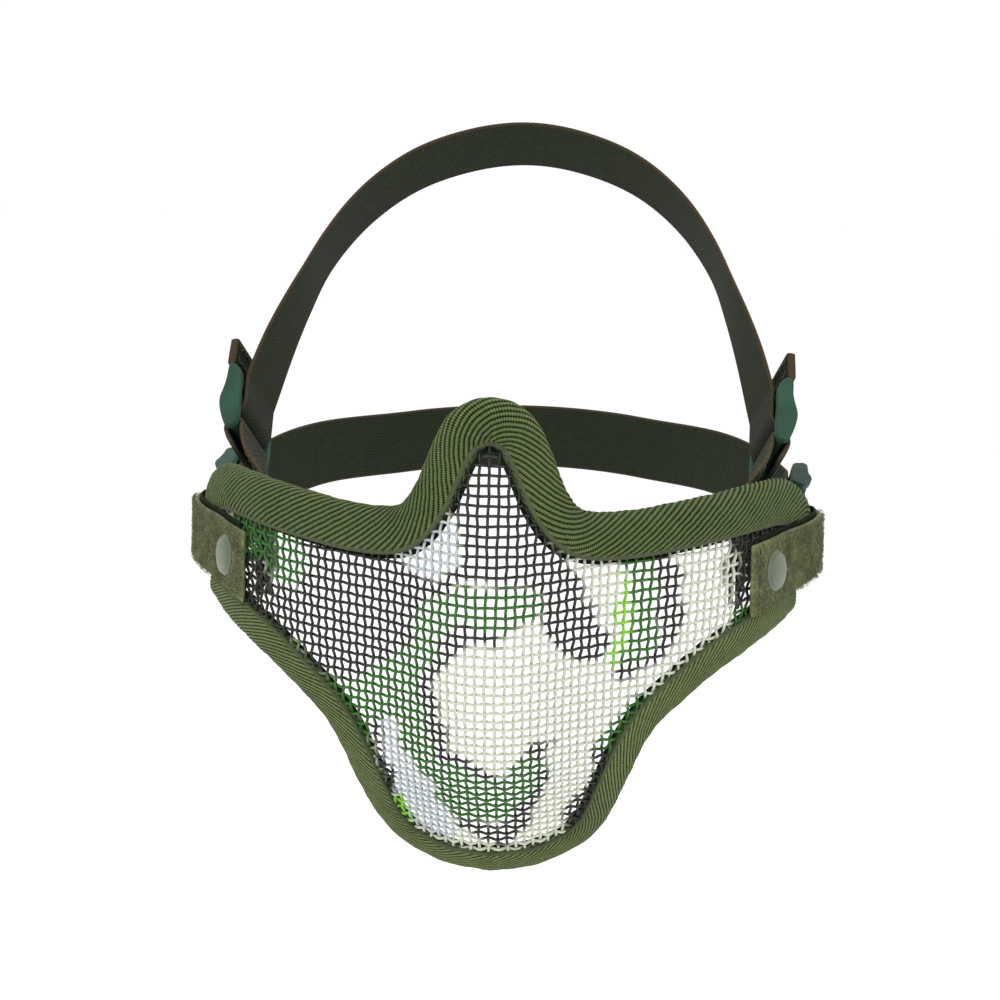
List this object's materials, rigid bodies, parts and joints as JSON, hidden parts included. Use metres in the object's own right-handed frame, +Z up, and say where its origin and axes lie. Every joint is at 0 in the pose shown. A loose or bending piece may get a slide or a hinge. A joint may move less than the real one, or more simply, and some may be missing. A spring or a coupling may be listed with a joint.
{
  "type": "half face mesh mask",
  "caption": "Half-face guard of woven steel wire with padded fabric edges, riveted side tabs and an adjustable two-strap elastic harness.",
  "frame": {"origin": "middle of the rear opening, level with the cheek wall, where the wearer's face enters", "axes": "+Z up, the guard's front faces -Y, +X to the wearer's left"},
  "size_m": [0.1878, 0.2074, 0.2162],
  "materials": {
    "painted_wire": "camouflage spray paint on woven steel wire",
    "binding_tape": "olive twill tape with raised diagonal ribs",
    "foam": "matt closed-cell foam",
    "loop_pile": "fuzzy loop pile",
    "lining": "dark green webbing",
    "rivet_cap": "smooth satin grey-green",
    "rivet_metal": "dull plated steel",
    "webbing": "ribbed webbing with brown edge thread",
    "elastic": "ribbed dark olive elastic",
    "buckle": "moulded muted green"
  },
  "bodies": {
    "mask": {"mesh_face": "painted_wire", "upper_binding": "binding_tape", "upper_foam": "foam", "lower_binding": "binding_tape", "lower_foam": "foam", "side_tab_left": "loop_pile", "side_tab_right": "loop_pile", "tab_lining_left": "lining", "tab_lining_right": "lining", "rivet_cap_left": "rivet_cap", "rivet_cap_right": "rivet_cap", "rivet_post_left": "rivet_metal", "rivet_post_right": "rivet_metal"},
    "upper_harness": {"upper_arm_left": "webbing", "upper_arm_right": "webbing", "upper_strap": "elastic"},
    "upper_buckle_left": {"upper_lock_left": "buckle", "upper_wrap_left": "elastic"},
    "upper_strap_end_left": {"upper_tail_left": "elastic"},
    "upper_buckle_right": {"upper_lock_right": "buckle", "upper_wrap_right": "elastic"},
    "upper_strap_end_right": {"upper_tail_right": "elastic"},
    "lower_harness": {"lower_arm_left": "webbing", "lower_arm_right": "webbing", "lower_strap": "elastic"},
    "lower_buckle_left": {"lower_lock_left": "buckle", "lower_wrap_left": "elastic"},
    "lower_strap_end_left": {"lower_tail_left": "elastic"},
    "lower_buckle_right": {"lower_lock_right": "buckle", "lower_wrap_right": "elastic"},
    "lower_strap_end_right": {"lower_tail_right": "elastic"}
  },
  "joints": [
    {"name": "upper_harness_swing", "type": "hinge", "parent": "mask", "child": "upper_harness", "pos_m": [0, -0.033, -0.011], "axis": [1, 0, 0], "range_deg": [0, 20]},
    {"name": "upper_buckle_tilt_left", "type": "hinge", "parent": "upper_harness", "child": "upper_buckle_left", "pos_m": [-0.078, -0.0061, 0.01994], "axis": [-0.309, -0.7178, 0.6239], "range_deg": [0, 25]},
    {"name": "upper_strap_adjust_left", "type": "slide", "parent": "upper_buckle_left", "child": "upper_strap_end_left", "axis": [0, 0.6561, 0.7547], "range_m": [0, 0.012]},
    {"name": "upper_buckle_tilt_right", "type": "hinge", "parent": "upper_harness", "child": "upper_buckle_right", "pos_m": [0.078, -0.0061, 0.01994], "axis": [-0.309, 0.7178, -0.6239], "range_deg": [0, 25]},
    {"name": "upper_strap_adjust_right", "type": "slide", "parent": "upper_buckle_right", "child": "upper_strap_end_right", "axis": [0, 0.6561, 0.7547], "range_m": [0, 0.012]},
    {"name": "lower_harness_swing", "type": "hinge", "parent": "mask", "child": "lower_harness", "pos_m": [0, -0.033, -0.011], "axis": [1, 0, 0], "range_deg": [-30, 1]},
    {"name": "lower_buckle_tilt_left", "type": "hinge", "parent": "lower_harness", "child": "lower_buckle_left", "pos_m": [-0.083, 0.02001, -0.0007], "axis": [-0.309, -0.1815, 0.9336], "range_deg": [0, 25]},
    {"name": "lower_strap_adjust_left", "type": "slide", "parent": "lower_buckle_left", "child": "lower_strap_end_left", "axis": [0, 0.9816, 0.1908], "range_m": [0, 0.012]},
    {"name": "lower_buckle_tilt_right", "type": "hinge", "parent": "lower_harness", "child": "lower_buckle_right", "pos_m": [0.083, 0.02001, -0.0007], "axis": [-0.309, 0.1815, -0.9336], "range_deg": [0, 25]},
    {"name": "lower_strap_adjust_right", "type": "slide", "parent": "lower_buckle_right", "child": "lower_strap_end_right", "axis": [0, 0.9816, 0.1908], "range_m": [0, 0.012]}
  ]
}
